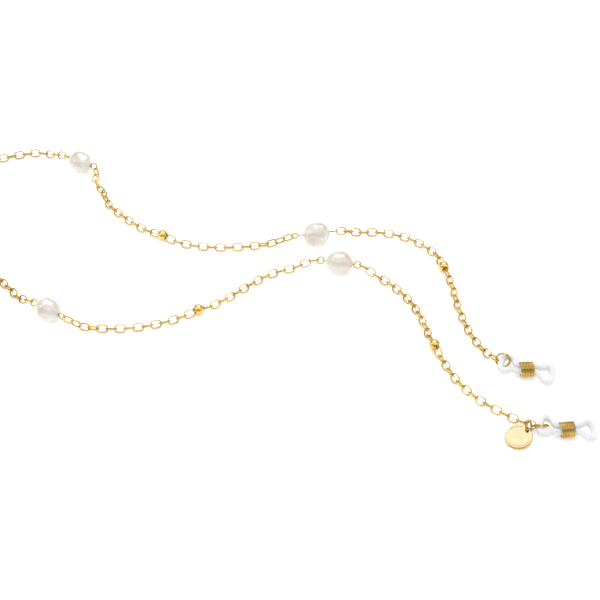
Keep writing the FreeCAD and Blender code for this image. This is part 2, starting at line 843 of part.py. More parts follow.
link_pattern = make_link_pattern()
run_links = {}
for run_name in RUNS:
    links = lay_run(run_name)
    run_links[run_name] = links
    make_chain_group("chain_%s_inner" % run_name, link_pattern, links[:LINKS_IN_INNER_GROUP])
    make_chain_group("chain_%s_outer" % run_name, link_pattern, links[LINKS_IN_INNER_GROUP:])

for pearl_name in PEARLS:
    make_pearl(pearl_name)
    make_eye_pin(pearl_name)


def bead_placement(name):
    """A bead's bore points from the last link before it to the first link after it."""
    strand, number = name[0], int(name[1])
    before = run_links["%s%d" % (strand, 2 * number - 1)][-1]
    after = run_links["%s%d" % (strand, 2 * number)][0]
    direction = (after.Base - before.Base).normalize()
    middle = at_height(BEADS[name][0], BEAD_HEIGHT)
    return framed(middle, direction, UP)


for bead_name in BEADS:
    make_bead(bead_name, bead_placement(bead_name))
    make_connector(bead_name, bead_placement(bead_name))

for end_name in LOOPS:
    make_ring("jump_ring_" + end_name, ring_placement(end_name), "ring_radius", "ring_wire")
    make_temple_loop(end_name)
    make_coil(end_name)

make_tag()
make_ring("tag_ring", tag_ring_placement(), "tag_ring_radius", "tag_ring_wire")

doc.recompute()

# ---------------------------------------------------------------- tests and export

for thing in doc.Objects:
    if "Invalid" in thing.State or "Error" in thing.State:
        raise ValueError("%s did not compute: %s" % (thing.Label, thing.State))
for piece in pieces:
    if piece.Shape.isNull() or not piece.Shape.isValid() or not piece.Shape.Solids:
        raise ValueError("%s has no valid solid" % piece.Label)

os.makedirs("parts", exist_ok=True)
for piece in pieces:
    piece.Shape.exportStep(os.path.join("parts", piece.Label + ".step"))
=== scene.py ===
import json
import math

import bmesh
import bpy
import numpy as np
from mathutils import Matrix, Vector, noise


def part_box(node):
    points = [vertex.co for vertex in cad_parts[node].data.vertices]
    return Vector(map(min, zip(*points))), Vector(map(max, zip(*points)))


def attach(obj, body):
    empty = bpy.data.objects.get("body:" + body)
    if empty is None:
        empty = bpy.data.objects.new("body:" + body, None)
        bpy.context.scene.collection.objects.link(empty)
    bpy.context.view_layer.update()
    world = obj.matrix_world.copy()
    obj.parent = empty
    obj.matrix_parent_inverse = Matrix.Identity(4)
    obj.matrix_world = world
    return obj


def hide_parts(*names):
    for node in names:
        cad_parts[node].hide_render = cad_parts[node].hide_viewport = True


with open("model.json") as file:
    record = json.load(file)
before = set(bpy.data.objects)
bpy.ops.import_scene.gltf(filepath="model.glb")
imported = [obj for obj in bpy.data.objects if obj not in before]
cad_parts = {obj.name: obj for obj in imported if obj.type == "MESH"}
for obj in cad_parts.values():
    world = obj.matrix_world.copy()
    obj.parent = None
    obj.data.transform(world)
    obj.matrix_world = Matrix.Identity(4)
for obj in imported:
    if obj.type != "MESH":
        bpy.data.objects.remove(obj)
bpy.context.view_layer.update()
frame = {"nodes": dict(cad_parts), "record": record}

bl_info = {
    "name": "Eyeglasses chain",
    "version": (1, 0, 0),
    "blender": (4, 5, 0),
    "location": "3D View > Sidebar > Glasses chain",
    "description": "Makes a pearl and gold eyeglasses chain around its packed frame",
    "category": "Add Mesh",
}

JOINTS = {joint["name"]: joint for joint in frame["record"]["behaviour"]["joints"]}
BODIES = frame["record"]["behaviour"]["bodies"]
NODE_BODY = {node: body for body, nodes in BODIES.items() for node in nodes}


# ------------------------------------------------------------------ settings


class ChainSizes(bpy.types.PropertyGroup):
    link_length: bpy.props.FloatProperty(
        name="Link length", description="Outside length of an oval link", default=0.00436, unit="LENGTH")
    link_width: bpy.props.FloatProperty(
        name="Link width", description="Outside width of an oval link", default=0.00305, unit="LENGTH")
    link_wire: bpy.props.FloatProperty(
        name="Link wire", description="Thickness of the flat band wire", default=0.00040, unit="LENGTH")
    link_band: bpy.props.FloatProperty(
        name="Link band", description="Width of the flat band wire", default=0.00070, unit="LENGTH")
    bead_diameter: bpy.props.FloatProperty(
        name="Bead", description="Diameter of a gold bead", default=0.0040, unit="LENGTH")
    bead_bore: bpy.props.FloatProperty(
        name="Bead bore", description="Diameter of the hole through a gold bead", default=0.0025,
        unit="LENGTH")
    cord: bpy.props.FloatProperty(
        name="Cord", description="Diameter of the silicone cord of a temple loop", default=0.0021,
        unit="LENGTH")
    coil_wire: bpy.props.FloatProperty(
        name="Coil wire", description="Diameter of the grip coil's wire", default=0.00048, unit="LENGTH")
    coil_pitch: bpy.props.FloatProperty(
        name="Coil pitch", description="Distance from turn to turn of a grip coil", default=0.00053,
        unit="LENGTH")
    coil_turns: bpy.props.IntProperty(
        name="Coil turns", description="Full turns of a grip coil", default=9, min=3, max=20)
    pearl_bore: bpy.props.FloatProperty(
        name="Pearl bore", description="Diameter of the hole drilled through a pearl", default=0.0007,
        unit="LENGTH")
    lumps: bpy.props.FloatProperty(
        name="Pearl lumps", description="How far a pearl's skin strays from an egg shape", default=0.00045,
        unit="LENGTH")


class ChainColours(bpy.types.PropertyGroup):
    gold: bpy.props.FloatVectorProperty(
        name="Gold", description="Colour of the gold plate", subtype="COLOR", size=3, min=0, max=1,
        default=(0.53, 0.33, 0.042))
    gold_light: bpy.props.FloatVectorProperty(
        name="Light gold", description="Paler patches of the gold plate", subtype="COLOR", size=3, min=0,
        max=1, default=(0.77, 0.54, 0.155))
    bead: bpy.props.FloatVectorProperty(
        name="Bead gold", description="Colour of the brighter mirror plate on the beads", subtype="COLOR",
        size=3, min=0, max=1, default=(0.84, 0.62, 0.22))
    pearl: bpy.props.FloatVectorProperty(
        name="Pearl", description="Main colour of the nacre", subtype="COLOR", size=3, min=0, max=1,
        default=(0.81, 0.79, 0.755))
    pearl_shade: bpy.props.FloatVectorProperty(
        name="Pearl shade", description="Greyer patches of the nacre", subtype="COLOR", size=3, min=0, max=1,
        default=(0.66, 0.60, 0.53))
    pearl_blush: bpy.props.FloatVectorProperty(
        name="Pearl blush", description="Warmer patches of the nacre", subtype="COLOR", size=3, min=0, max=1,
        default=(0.70, 0.585, 0.44))
    # the tag's face colour is lightened into a painted highlight of the ceiling light that its upward face
    # reflects
    tag_face_painted_highlight: bpy.props.FloatVectorProperty(
        name="Tag face", description="Colour of the tag's pale satin face", subtype="COLOR", size=3, min=0,
        max=1, default=(0.54, 0.385, 0.225))
    silicone: bpy.props.FloatVectorProperty(
        name="Silicone", description="Colour of the soft cord", subtype="COLOR", size=3, min=0, max=1,
        default=(0.80, 0.80, 0.82))


# set from the scene's settings when main runs
SIZES = None
COLOURS = None


# ------------------------------------------------------------------ finishes


def new_finish(name):
    """A material with its shader, and the coordinates its patterns read."""
    finish = bpy.data.materials.new(name)
    finish.use_nodes = True
    nodes = finish.node_tree.nodes
    shader = nodes["Principled BSDF"]
    where = nodes.new("ShaderNodeTexCoord")
    return finish, nodes, finish.node_tree.links, shader, where.outputs["Object"]


def noise_node(nodes, links, coordinates, scale, detail=3.0):
    """A cloudy pattern, its scale in clouds to the metre."""
    pattern = nodes.new("ShaderNodeTexNoise")
    pattern.inputs["Scale"].default_value = scale
    pattern.inputs["Detail"].default_value = detail
    pattern.inputs["Roughness"].default_value = 0.55
    links.new(coordinates, pattern.inputs["Vector"])
    return pattern.outputs["Fac"]


def spread(nodes, links, value, low=0.0, high=1.0, from_low=0.35, from_high=0.65):
    """Stretches the part of a value between from_low and from_high to run from low to high."""
    ranged = nodes.new("ShaderNodeMapRange")
    ranged.inputs["From Min"].default_value = from_low
    ranged.inputs["From Max"].default_value = from_high
    ranged.inputs["To Min"].default_value = low
    ranged.inputs["To Max"].default_value = high
    links.new(value, ranged.inputs["Value"])
    return ranged.outputs["Result"]


def blend_colours(nodes, links, share, first, second):
    """Runs from the first colour to the second as share goes from 0 to 1."""
    mix = nodes.new("ShaderNodeMix")
    mix.data_type = "RGBA"
    links.new(share, mix.inputs["Factor"])
    # a mix node has sockets for every data type: its colour sockets are 6 and 7, its colour output 2
    for socket, colour in ((mix.inputs[6], first), (mix.inputs[7], second)):
        if isinstance(colour, bpy.types.NodeSocket):
            links.new(colour, socket)
        else:
            socket.default_value = (*colour, 1)
    return mix.outputs[2]


def add_bump(nodes, links, shader, height, strength, distance):
    """Roughens a shader's surface by a height pattern, distance in metres at full strength."""
    bump = nodes.new("ShaderNodeBump")
    bump.inputs["Strength"].default_value = strength
    bump.inputs["Distance"].default_value = distance
    links.new(height, bump.inputs["Height"])
    links.new(bump.outputs["Normal"], shader.inputs["Normal"])


def plate_finish(name, roughness, scratch_strength):
    """Metal with fine scratches, uneven gloss and thin lacquer. Its colour is left to the caller."""
    finish, nodes, links, shader, here = new_finish(name)
    shader.inputs["Metallic"].default_value = 1.0
    shader.inputs["Coat Weight"].default_value = 0.35
    shader.inputs["Coat Roughness"].default_value = 0.12
    gloss = noise_node(nodes, links, here, scale=900.0, detail=4.0)
    links.new(spread(nodes, links, gloss, *roughness), shader.inputs["Roughness"])
    grain = nodes.new("ShaderNodeMapping")
    grain.inputs["Scale"].default_value = (1.0, 1.0, 6.0)
    links.new(here, grain.inputs["Vector"])
    scratches = noise_node(nodes, links, grain.outputs["Vector"], scale=2600.0, detail=2.0)
    add_bump(nodes, links, shader, scratches, scratch_strength, distance=0.00002)
    return finish, nodes, links, shader, here


def gold_finish(name, roughness, scratch_strength, colours=None):
    """Gold plate: warm metal with paler rubbed patches."""
    finish, nodes, links, shader, here = plate_finish(name, roughness, scratch_strength)
    patches = spread(nodes, links, noise_node(nodes, links, here, scale=240.0))
    deep, pale = colours or (COLOURS.gold, COLOURS.gold_light)
    links.new(blend_colours(nodes, links, patches, deep, pale), shader.inputs["Base Color"])
    return finish


def tag_finish(name):
    """Satin gold plate on the tag: a brushed face painted pale as a painted highlight of the ceiling light,
    deepening to the plain gold round the rim.
    """
    finish, nodes, links, shader, here = plate_finish(name, (0.26, 0.40), 0.45)
    low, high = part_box("tag")
    from_middle = nodes.new("ShaderNodeVectorMath")
    from_middle.operation = "DISTANCE"
    from_middle.inputs[1].default_value = (Vector(low) + Vector(high)) / 2
    links.new(here, from_middle.inputs[0])
    # inside this ring the face carries the painted highlight; the rim keeps the plain gold
    rim = spread(nodes, links, from_middle.outputs["Value"], from_low=0.00440, from_high=0.00462)
    worn = spread(nodes, links, noise_node(nodes, links, here, scale=520.0))
    # the painted highlight colour of the face, with a random worn tone in it
    face = blend_colours(nodes, links, worn, COLOURS.tag_face_painted_highlight, COLOURS.tag_face_painted_highlight * 0.93)
    links.new(blend_colours(nodes, links, rim, face, COLOURS.gold), shader.inputs["Base Color"])
    return finish


def pearl_finish(name, seed):
    """Nacre: a cream skin with greyer and warmer patches, fine ripples and a soft deep gloss."""
    finish, nodes, links, shader, here = new_finish(name)
    # the patterns are read from another place for each pearl, so that no two are alike
    shift = nodes.new("ShaderNodeMapping")
    shift.inputs["Location"].default_value = (0.013 * seed, 0.007 * seed, 0.003 * seed)
    links.new(here, shift.inputs["Vector"])
    place = shift.outputs["Vector"]
    patches = spread(nodes, links, noise_node(nodes, links, place, scale=160.0, detail=2.0))
    body = blend_colours(nodes, links, patches, COLOURS.pearl, COLOURS.pearl_shade)
    blush = spread(nodes, links, noise_node(nodes, links, place, scale=95.0, detail=1.0), high=0.55)
    links.new(blend_colours(nodes, links, blush, body, COLOURS.pearl_blush), shader.inputs["Base Color"])
    gloss = noise_node(nodes, links, place, scale=420.0)
    links.new(spread(nodes, links, gloss, low=0.16, high=0.30), shader.inputs["Roughness"])
    shader.inputs["IOR"].default_value = 1.6
    shader.inputs["Subsurface Weight"].default_value = 0.15
    shader.inputs["Subsurface Radius"].default_value = (1.0, 0.75, 0.5)
    shader.inputs["Subsurface Scale"].default_value = 0.0010
    shader.inputs["Coat Weight"].default_value = 1.0
    shader.inputs["Coat IOR"].default_value = 1.9
    shader.inputs["Coat Roughness"].default_value = 0.06
    ripples = noise_node(nodes, links, place, scale=700.0)
    add_bump(nodes, links, shader, ripples, strength=0.25, distance=0.00006)
    return finish


def silicone_finish(name):
    """Soft silicone gone milky, with a hazy tone, uneven gloss and moulding ripples."""
    finish, nodes, links, shader, here = new_finish(name)
    haze = spread(nodes, links, noise_node(nodes, links, here, scale=210.0))
    milky = (0.84, 0.84, 0.855)
    links.new(blend_colours(nodes, links, haze, COLOURS.silicone, milky), shader.inputs["Base Color"])
    gloss = noise_node(nodes, links, here, scale=800.0)
    links.new(spread(nodes, links, gloss, low=0.38, high=0.55), shader.inputs["Roughness"])
    shader.inputs["IOR"].default_value = 1.41
    shader.inputs["Subsurface Weight"].default_value = 0.3
    shader.inputs["Subsurface Radius"].default_value = (1.0, 1.0, 1.05)
    shader.inputs["Subsurface Scale"].default_value = 0.0006
    ripples = noise_node(nodes, links, here, scale=1500.0, detail=2.0)
    add_bump(nodes, links, shader, ripples, strength=0.15, distance=0.00003)
    return finish


def paper_finish(name):
    """The pale sheet underneath, lit a little from below as on a light table."""
    finish, nodes, links, shader, here = new_finish(name)
    tone = spread(nodes, links, noise_node(nodes, links, here, scale=4.0))
    dull, bright = (0.95, 0.95, 0.95), (0.97, 0.97, 0.97)
    links.new(blend_colours(nodes, links, tone, dull, bright), shader.inputs["Base Color"])
    shader.inputs["Roughness"].default_value = 0.9
    shader.inputs["Specular IOR Level"].default_value = 0.1
    shader.inputs["Emission Color"].default_value = (1.0, 1.0, 1.0, 1)
    shader.inputs["Emission Strength"].default_value = 0.30
    return finish


# ------------------------------------------------------------------ making pieces

# how far above the sheet a ball's flattened underside stands
SHEET_GAP = 0.00002


def add_piece(name, shape, finish, body, nodes=()):
    """Turns a bmesh into a finished piece that rides on a body and stands for CAD nodes."""
    mesh = bpy.data.meshes.new(name)
    shape.to_mesh(mesh)
    shape.free()
    for face in mesh.polygons:
        face.use_smooth = True
    mesh.materials.append(finish)
    piece = bpy.data.objects.new(name, mesh)
    bpy.context.scene.collection.objects.link(piece)
    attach(piece, body)
    if nodes:
        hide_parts(*nodes)
    return piece


def placing(origin, x_axis, z_axis):
    """A matrix at origin whose x and z point as given, z made square to x."""
    x = Vector(x_axis).normalized()
    z = (Vector(z_axis) - x * Vector(z_axis).dot(x)).normalized()
    y = z.cross(x)
    turned = Matrix((x, y, z)).transposed().to_4x4()
    return Matrix.Translation(origin) @ turned


def separate_solids(node):
    """The vertices of each separate solid of a CAD node, in the same order every time."""
    copy = bmesh.new()
    copy.from_mesh(frame["nodes"][node].data)
    bmesh.ops.remove_doubles(copy, verts=copy.verts, dist=1e-7)
    seen = set()
    solids = []
    for start in copy.verts:
        if start in seen:
            continue
        seen.add(start)
        found = [start]
        # the list grows while it is read, until no neighbour is left
        for vertex in found:
            for edge in vertex.link_edges:
                neighbour = edge.other_vert(vertex)
                if neighbour not in seen:
                    seen.add(neighbour)
                    found.append(neighbour)
        solids.append(np.array([tuple(vertex.co) for vertex in found]))
    copy.free()
    return solids


def lie_of(points):
    """Centre, longest and shortest directions of a solid's vertices."""
    centre = points.mean(axis=0)
    spreads, directions = np.linalg.eigh(np.cov((points - centre).T))
    order = np.argsort(spreads)
    return Vector(centre), Vector(directions[:, order[2]]), Vector(directions[:, order[0]])


def joint_frame(name):
    """A point on a joint's axis, and the axis."""
    joint = JOINTS[name]
    return Vector(joint["pos_m"]), Vector(joint["axis"])


def rest_on_sheet(shape):
    """Flattens a ball a little where it would go through the sheet it lies on."""
    for vertex in shape.verts:
        vertex.co.z = max(vertex.co.z, SHEET_GAP)


def recalculate(shape, doubles=1e-7):
    """Closes a shape's seams and turns its faces outwards."""
    bmesh.ops.remove_doubles(shape, verts=shape.verts, dist=doubles)
    bmesh.ops.recalc_face_normals(shape, faces=shape.faces)


# ------------------------------------------------------------------ chain links

# the share of the band's width that is flat, the rest being its rounded edges
BAND_FLAT = 0.62


def link_pattern():
    """One oval link of flat band wire, its length along X and its hole along Z."""
    shape = bmesh.new()
    outside = SIZES.link_width / 2
    inside = outside - SIZES.link_wire
    middle = (outside + inside) / 2
    half_band = SIZES.link_band / 2
    flat = half_band * BAND_FLAT
    reach = (SIZES.link_length - SIZES.link_width) / 2
    section = [
        (outside, -flat), (outside, flat), (middle, half_band), (inside, flat), (inside, -flat),
        (middle, -half_band),
    ]
    ring = [shape.verts.new((reach, -out, up)) for out, up in section]
    rim = [shape.edges.new((ring[i], ring[(i + 1) % len(ring)])) for i in range(len(ring))]
    for side in (1, -1):
        turned = bmesh.ops.spin(
            shape, geom=ring + rim, cent=(side * reach, 0, 0), axis=(0, 0, 1), angle=math.pi, steps=6)
        rim = [g for g in turned["geom_last"] if isinstance(g, bmesh.types.BMEdge)]
        run = bmesh.ops.extrude_edge_only(shape, edges=rim)
        ring = [g for g in run["geom"] if isinstance(g, bmesh.types.BMVert)]
        rim = [g for g in run["geom"] if isinstance(g, bmesh.types.BMEdge)]
        bmesh.ops.translate(shape, verts=ring, vec=(-side * 2 * reach, 0, 0))
    recalculate(shape, 1e-6)
    pattern = bpy.data.meshes.new("link_pattern")
    shape.to_mesh(pattern)
    shape.free()
    return pattern


class GLASSES_OT_links(bpy.types.Operator):
    """Make every oval link where the frame has one"""

    bl_idname = "glasses.links"
    bl_label = "Chain links"

    def execute(self, context):
        finish = gold_finish("link_gold", (0.16, 0.30), 0.35)
        pattern = link_pattern()
        for node in sorted(frame["nodes"]):
            if not node.startswith("chain_"):
                continue
            shape = bmesh.new()
            for points in separate_solids(node):
                centre, along, facing = lie_of(points)
                before = len(shape.verts)
                shape.from_mesh(pattern)
                shape.verts.ensure_lookup_table()
                bmesh.ops.transform(
                    shape, matrix=placing(centre, along, facing), verts=shape.verts[before:])
            add_piece(node.replace("chain_", "links_"), shape, finish, NODE_BODY[node], [node])
        bpy.data.meshes.remove(pattern)
        return {"FINISHED"}


# ------------------------------------------------------------------ pearls

# how each pearl differs: seed of its lumps, width and height as shares of the round one, waist depth
PEARL_CHARACTER = {
    "neck": (1.0, 1.00, 0.97, 0.02),
    "a1": (2.0, 1.00, 0.96, 0.03),
    "a2": (3.0, 0.98, 0.98, 0.03),
    "b1": (4.0, 1.00, 0.97, 0.02),
    "b2": (5.0, 0.98, 0.99, 0.03),
}

# the pearls are a little longer than their solids
PEARL_LENGTHENED = 1.04


def drill(shape, radius):
    """Opens both poles of a ball and joins them with a straight bore along Z."""
    cut = radius * 0.9
    poles = [vertex for vertex in shape.verts if math.hypot(vertex.co.x, vertex.co.y) < cut]
    bmesh.ops.delete(shape, geom=poles, context="VERTS")
    mouths = [edge for edge in shape.edges if edge.is_boundary]
    for vertex in {vertex for edge in mouths for vertex in edge.verts}:
        out = Vector((vertex.co.x, vertex.co.y, 0)).normalized() * radius
        vertex.co = (out.x, out.y, vertex.co.z)
    bmesh.ops.bridge_loops(shape, edges=mouths)


def pearl_straying(way, seed):
    """How far a pearl's skin stands out in a direction: broad lumps, smaller dents and growth grooves."""
    offset = Vector((seed * 3.1, seed * 1.7, seed * 0.9))
    lump = noise.noise(way * 1.4 + offset) * 0.65 + noise.noise(way * 3.1 + offset) * 0.28
    grooves = math.sin(way.z * 9.0 + seed + 1.2 * noise.noise(way * 1.1 + offset))
    return SIZES.lumps * (lump + 0.40 + 0.08 * grooves)


def pearl_waist(way, depth):
    """A share of the radius, least in the waist a quarter of the way towards one end."""
    place, width = 0.25, 0.25
    return 1 - depth * math.exp(-((way.z - place) / width) ** 2)


class GLASSES_OT_pearls(bpy.types.Operator):
    """Make the baroque pearls on their pins"""

    bl_idname = "glasses.pearls"
    bl_label = "Pearls"

    def execute(self, context):
        for name, (seed, wide, high, waist) in PEARL_CHARACTER.items():
            centre, axis = joint_frame("spin_pearl_" + name)
            points = separate_solids("pearl_" + name)[0]
            from_centre = points - np.array(centre)
            half_length = float(np.abs(from_centre @ np.array(axis)).max())
            radius = float(np.linalg.norm(np.cross(from_centre, np.array(axis)), axis=1).max())
            shape = bmesh.new()
            bmesh.ops.create_uvsphere(shape, u_segments=72, v_segments=48, radius=1.0)
            for vertex in shape.verts:
                way = vertex.co.normalized()
                strayed = pearl_straying(way, seed)
                waisted = pearl_waist(way, waist)
                vertex.co = Vector((
                    way.x * (radius * wide * waisted + strayed),
                    way.y * (radius * high * waisted + strayed),
                    way.z * (half_length * PEARL_LENGTHENED + strayed * 0.3),
                ))
            drill(shape, SIZES.pearl_bore / 2)
            sideways = Vector((0, 0, 1)).cross(axis)
            bmesh.ops.transform(shape, matrix=placing(centre, sideways, axis), verts=shape.verts)
            rest_on_sheet(shape)
            recalculate(shape)
            add_piece(
                "nacre_" + name, shape, pearl_finish("nacre_" + name, seed), NODE_BODY["pearl_" + name],
                ["pearl_" + name])
        return {"FINISHED"}


# ------------------------------------------------------------------ beads


# thickness of a hollow bead's wall
BEAD_WALL = 0.00022


def bead_profile():
    """A hollow bead's section, as places along its axis and out from it, going round the wall."""
    radius = SIZES.bead_diameter / 2
    bore = SIZES.bead_bore / 2
    mouth = math.sqrt(radius**2 - bore**2)
    lip_angle = math.asin(bore / radius)
    inner_lip_angle = lip_angle * 1.12
    outer_steps, inner_steps = 16, 8
    profile = []
    for index in range(outer_steps + 1):
        angle = lip_angle + (math.pi - 2 * lip_angle) * index / outer_steps
        profile.append((radius * math.cos(angle), radius * math.sin(angle)))
    # each lip is narrowest half a wall inside the mouth, and wider again behind that
    rolled_in = (mouth - BEAD_WALL * 0.5, bore - BEAD_WALL * 0.12)
    behind = (mouth - BEAD_WALL * 1.6, bore + BEAD_WALL * 0.1)
    profile.append((-rolled_in[0], rolled_in[1]))
    profile.append((-behind[0], behind[1]))
    for index in range(inner_steps + 1):
        angle = math.pi - inner_lip_angle - (math.pi - 2 * inner_lip_angle) * index / inner_steps
        profile.append(((radius - BEAD_WALL) * math.cos(angle), (radius - BEAD_WALL) * math.sin(angle)))
    profile.append(behind)
    profile.append(rolled_in)
    return profile


class GLASSES_OT_beads(bpy.types.Operator):
    """Make the round hollow beads with rolled lips round their bores"""

    bl_idname = "glasses.beads"
    bl_label = "Beads"

    def execute(self, context):
        finish = gold_finish("bead_gold", (0.05, 0.12), 0.12, (COLOURS.bead, COLOURS.gold_light))
        for node in sorted(frame["nodes"]):
            if not node.startswith("bead_") or node.startswith("bead_link"):
                continue
            centre, axis = joint_frame("spin_" + node)
            shape = bmesh.new()
            verts = [shape.verts.new((along, 0, out)) for along, out in bead_profile()]
            edges = [shape.edges.new((verts[i], verts[(i + 1) % len(verts)])) for i in range(len(verts))]
            bmesh.ops.spin(
                shape, geom=verts + edges, cent=(0, 0, 0), axis=(1, 0, 0), angle=2 * math.pi, steps=48,
                use_merge=True)
            recalculate(shape)
            bmesh.ops.transform(shape, matrix=placing(centre, axis, (0, 0, 1)), verts=shape.verts)
            rest_on_sheet(shape)
            name = node.replace("bead_", "gold_bead_")
            add_piece(name, shape, finish, NODE_BODY[node], [node])
        return {"FINISHED"}


# ------------------------------------------------------------------ temple loops and their coils

# heading and height of the lobe in the jump ring, then of the lobe for the glasses
LOBES = {
    "a": ((156.2, 0.00230), (-14.1, 0.00135)),
    "b": ((165.3, 0.00240), (2.0, 0.00135)),
}

# the corners of a lobe's centreline: distance out from the coil, distance aside, the share of the
# fall from the coil's height to the lobe's, and how much the cord swells once out of the coil
LOBE_CORNERS = [
    (0.0047, 0.0018, 0.1, 1.10),
    (0.0059, 0.0032, 0.35, 1.20),
    (0.0074, 0.0038, 0.7, 1.24),
    (0.0086, 0.0031, 0.9, 1.12),
    (0.0090, 0.0011, 1.0, 1.00),
]

# where the two strands run through a coil: half the length held, and half the distance between them
HELD_HALF = 0.0036
STRANDS_HALF = 0.00108


def heading_vector(degrees):
    """A level direction, from its angle to X."""
    angle = math.radians(degrees)
    return Vector((math.cos(angle), math.sin(angle), 0))


def coil_frame(end):
    """The middle of a grip coil, and the direction along it towards the glasses."""
    low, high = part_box("grip_coil_" + end)
    return (Vector(low) + Vector(high)) / 2, Vector(JOINTS["slide_coil_" + end]["axis"])


class GLASSES_OT_loops(bpy.types.Operator):
    """Make the silicone temple loops, pinched in the middle by their coils"""

    bl_idname = "glasses.loops"
    bl_label = "Temple loops"

    def execute(self, context):
        finish = silicone_finish("milky_silicone")
        for end, (ring_lobe, temple_lobe) in LOBES.items():
            coil, along = coil_frame(end)
            aside = Vector((0, 0, 1)).cross(along)
            corners = []
            for (heading, height), sign in ((temple_lobe, 1), (ring_lobe, -1)):
                grip_end = coil + along * sign * HELD_HALF
                strand = aside * sign * STRANDS_HALF
                outward = heading_vector(heading)
                across = heading_vector(heading + 90)
                fall = Vector((0, 0, height - coil.z))
                corners.append((grip_end + strand, 1.0))
                for side, row in ((1, LOBE_CORNERS), (-1, LOBE_CORNERS[::-1])):
                    for out, away, share, swell in row:
                        corners.append((coil + outward * out + across * side * away + fall * share, swell))
                corners.append((grip_end - strand, 1.0))
            curve = bpy.data.curves.new("temple_cord_" + end, "CURVE")
            curve.dimensions = "3D"
            spline = curve.splines.new("NURBS")
            spline.points.add(len(corners) - 1)
            for point, (corner, swell) in zip(spline.points, corners):
                point.co = (*corner, 1)
                point.radius = swell
            spline.use_cyclic_u = True
            spline.order_u = 4
            spline.resolution_u = 10
            curve.bevel_depth = SIZES.cord / 2
            curve.bevel_resolution = 7
            drawn = bpy.data.objects.new("temple_cord_" + end, curve)
            bpy.context.scene.collection.objects.link(drawn)
            bpy.context.view_layer.update()
            evaluated = drawn.evaluated_get(bpy.context.evaluated_depsgraph_get())
            tube = bpy.data.meshes.new_from_object(evaluated)
            shape = bmesh.new()
            shape.from_mesh(tube)
            bpy.data.objects.remove(drawn)
            bpy.data.meshes.remove(tube)
            recalculate(shape)
            node = "temple_loop_" + end
            add_piece("temple_cord_" + end, shape, finish, NODE_BODY[node], [node])
        return {"FINISHED"}


# the wire of a coil: sides of its section, steps to a turn, and where round the coil it starts
WIRE_SIDES = 8
TURN_STEPS = 28
START_DEGREES = 150
# its tail after the last turn: how far round it goes, and how far it moves along at each step
TAIL_DEGREES = 14
TAIL_STEPS = 4
TAIL_ADVANCE = 0.00028


class GLASSES_OT_coils(bpy.types.Operator):
    """Wind the grip coils, with a little of the wire's tail standing off at one end"""

    bl_idname = "glasses.coils"
    bl_label = "Grip coils"

    def execute(self, context):
        finish = gold_finish("coil_gold", (0.12, 0.24), 0.12)
        wire = SIZES.coil_wire / 2
        pitch = SIZES.coil_pitch
        turns = SIZES.coil_turns
        for end in LOBES:
            node = "grip_coil_" + end
            coil, along = coil_frame(end)
            low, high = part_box(node)
            turn_radius = (Vector(high) - Vector(low)).z / 2 - wire
            shape = bmesh.new()
            ring = bmesh.ops.create_circle(shape, cap_ends=False, segments=WIRE_SIDES, radius=wire)["verts"]
            upright = Matrix.Rotation(math.pi / 2, 3, "X")
            bmesh.ops.rotate(shape, cent=(0, 0, 0), matrix=upright, verts=ring)
            bmesh.ops.translate(shape, verts=ring, vec=(-pitch * turns / 2, 0, turn_radius))
            start = Matrix.Rotation(math.radians(START_DEGREES), 3, "X")
            bmesh.ops.rotate(shape, cent=(0, 0, 0), matrix=start, verts=ring)
            first = list(shape.edges)
            made = bmesh.ops.spin(
                shape, geom=ring + first, cent=(0, 0, 0), axis=(1, 0, 0), angle=2 * math.pi * turns,
                steps=TURN_STEPS * turns, dvec=(pitch / TURN_STEPS, 0, 0))
            made = bmesh.ops.spin(
                shape, geom=made["geom_last"], cent=(0, 0, 0), axis=(1, 0, 0),
                angle=math.radians(TAIL_DEGREES), steps=TAIL_STEPS, dvec=(TAIL_ADVANCE, 0, 0))
            last = [g for g in made["geom_last"] if isinstance(g, bmesh.types.BMEdge)]
            bmesh.ops.holes_fill(shape, edges=first + last, sides=WIRE_SIDES)
            recalculate(shape)
            bmesh.ops.transform(shape, matrix=placing(coil, -along, (0, 0, 1)), verts=shape.verts)
            add_piece("wound_coil_" + end, shape, finish, NODE_BODY[node], [node])
        return {"FINISHED"}


# ------------------------------------------------------------------ finishes of the frame's own parts


class GLASSES_OT_fittings(bpy.types.Operator):
    """Finish the pins, connectors, rings and tag that come from the frame"""

    bl_idname = "glasses.fittings"
    bl_label = "Rings, pins and tag"

    def execute(self, context):
        pin = gold_finish("pin_gold", (0.14, 0.26), 0.3)
        ring = gold_finish("ring_gold", (0.10, 0.20), 0.25)
        tag = tag_finish("tag_gold")
        for node, part in frame["nodes"].items():
            if node == "tag":
                finish = tag
            elif node.startswith("eye_pin") or node.startswith("bead_link"):
                finish = pin
            elif "ring" in node:
                finish = ring
            else:
                continue
            part.data.materials.clear()
            part.data.materials.append(finish)
        return {"FINISHED"}


# ------------------------------------------------------------------ stage

# the point on the sheet that the camera and the lights look at
LOOK_AT = Vector((0.03830, -0.00603, 0))
# how far back and how far up the camera stands from it, and how far down it looks
CAMERA_STEP = 0.40776
CAMERA_DEGREES = 45
# half the width of the sheet
SHEET_HALF = 4.0
# the direction of the ceiling light's middle
CEILING = (0.0, 0.035, 0.999)
# how bright the room is, from level (0) up to the ceiling light's middle (1)
ROOM_LEVELS = ((0.0, 0.62), (0.44, 0.55), (0.50, 0.10), (0.60, 0.06), (0.66, 1.0), (1.0, 1.0))


